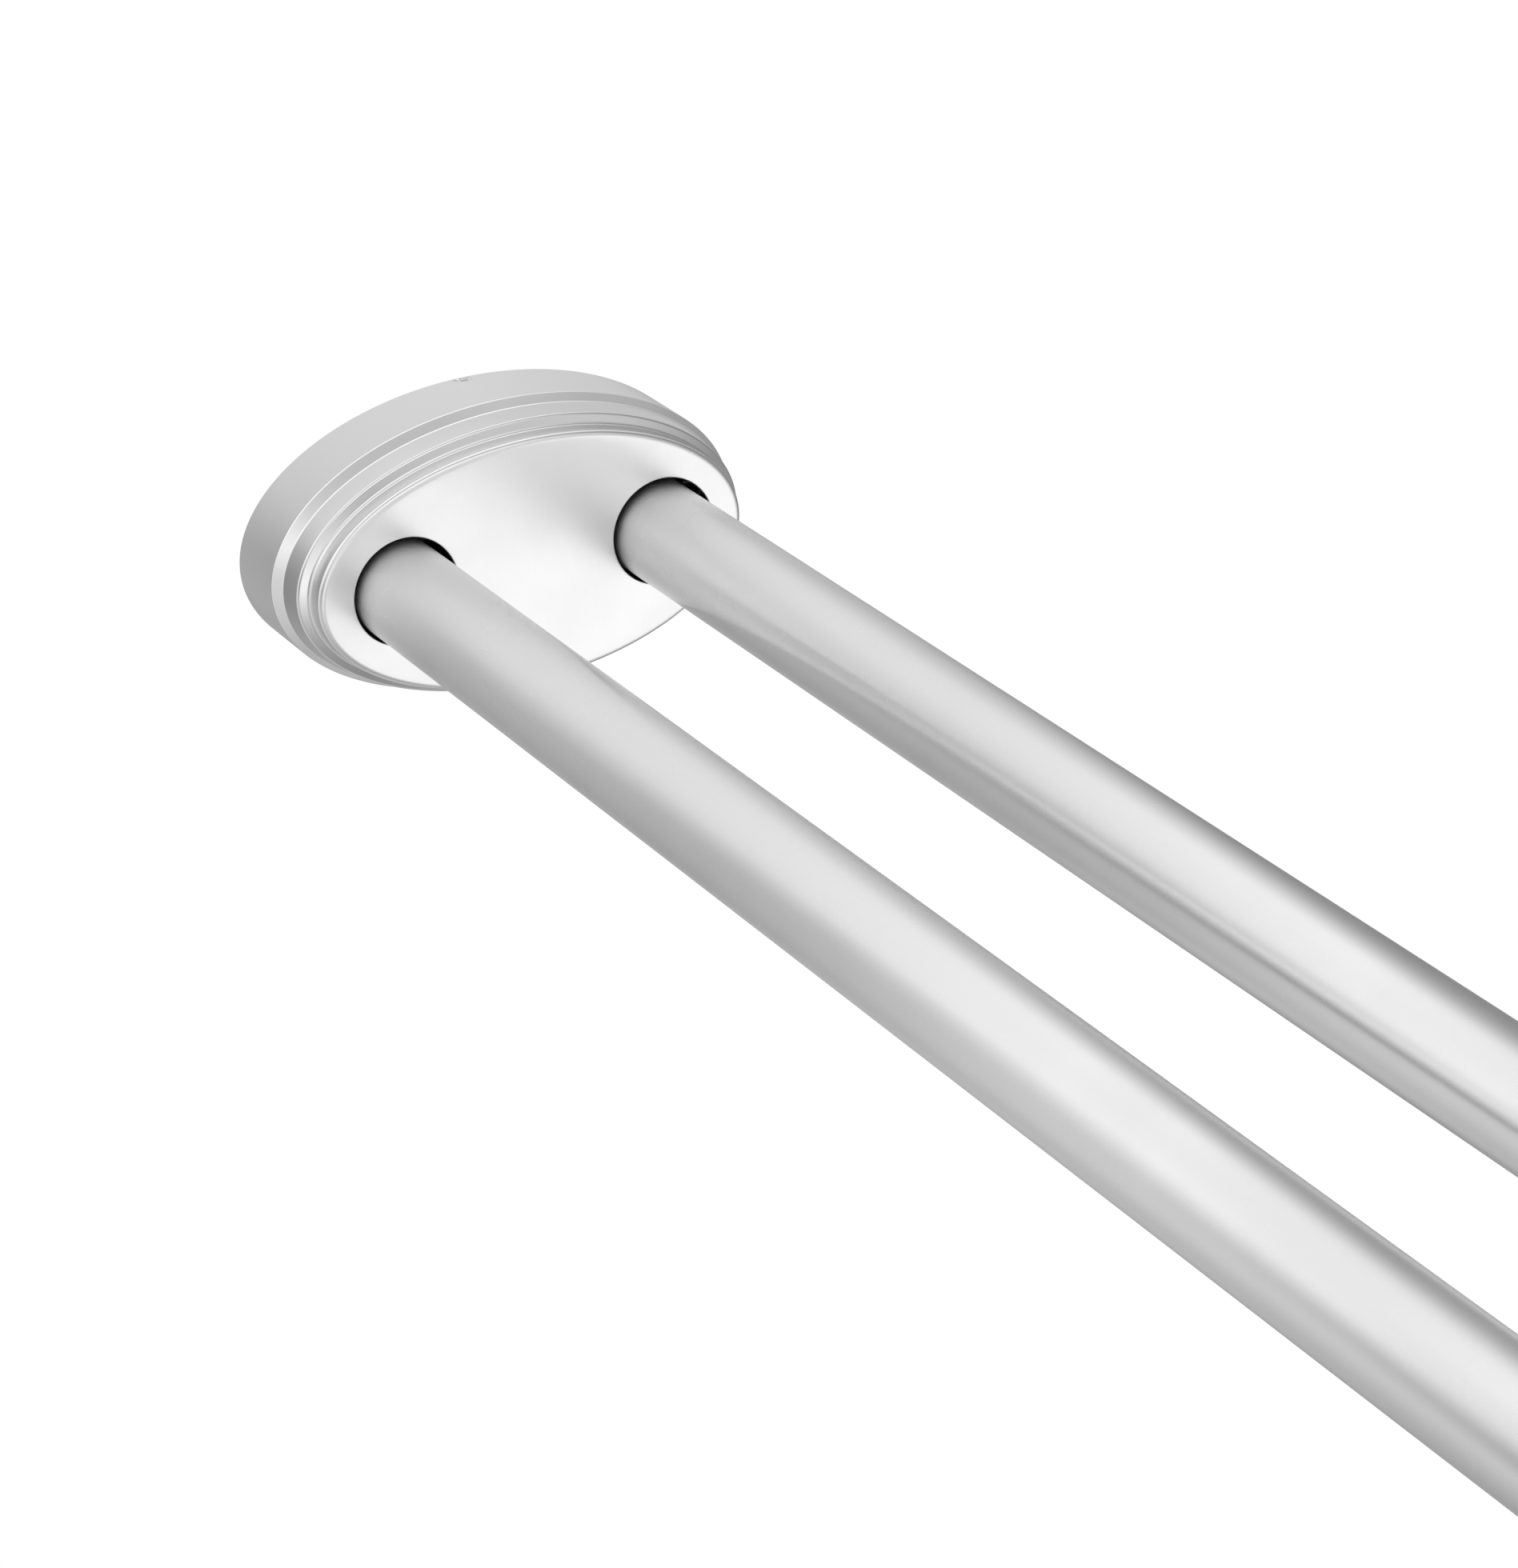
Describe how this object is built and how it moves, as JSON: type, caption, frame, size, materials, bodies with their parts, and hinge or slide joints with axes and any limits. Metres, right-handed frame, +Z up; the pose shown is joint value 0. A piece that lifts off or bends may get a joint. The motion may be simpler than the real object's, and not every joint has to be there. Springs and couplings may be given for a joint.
{
  "type": "straight double shower curtain rod",
  "caption": "Straight double shower curtain rod: telescoping parallel tubes for a curtain and a liner, held between oval stepped wall flanges with loose covers over screwed brackets.",
  "frame": {"origin": "on the left wall's face, at the centre of the left flange, midway between the two rods", "axes": "+X along the rods from the left wall to the right wall, +Z up, -Y towards the room"},
  "size_m": [1.594, 0.1272, 0.075],
  "materials": {
    "satin_nickel": "satin brushed nickel plate on steel",
    "bracket_casting": "tumbled die casting",
    "screw_steel": "bright zinc plate",
    "set_screw_steel": "black oxide",
    "grey_plastic": "moulded, fine texture"
  },
  "bodies": {
    "left_half": {"left_bracket": "bracket_casting", "left_wall_screws": "screw_steel", "left_set_screws": "set_screw_steel", "curtain_outer_tube": "satin_nickel", "liner_outer_tube": "satin_nickel", "curtain_guide_bush": "grey_plastic", "liner_guide_bush": "grey_plastic"},
    "right_half": {"right_bracket": "bracket_casting", "right_wall_screws": "screw_steel", "right_set_screws": "set_screw_steel", "curtain_inner_tube": "satin_nickel", "liner_inner_tube": "satin_nickel", "curtain_inner_glide": "grey_plastic", "liner_inner_glide": "grey_plastic"},
    "left_cover": {"left_cover": "satin_nickel"},
    "right_cover": {"right_cover": "satin_nickel"}
  },
  "joints": [
    {"name": "telescope", "type": "slide", "parent": "left_half", "child": "right_half", "axis": [1, 0, 0], "range_m": [-0.406, 0.305]},
    {"name": "left_cover_slide", "type": "slide", "parent": "left_half", "child": "left_cover", "axis": [1, 0, 0], "range_m": [0, 0.1]},
    {"name": "right_cover_slide", "type": "slide", "parent": "right_half", "child": "right_cover", "axis": [-1, 0, 0], "range_m": [0, 0.1]}
  ]
}
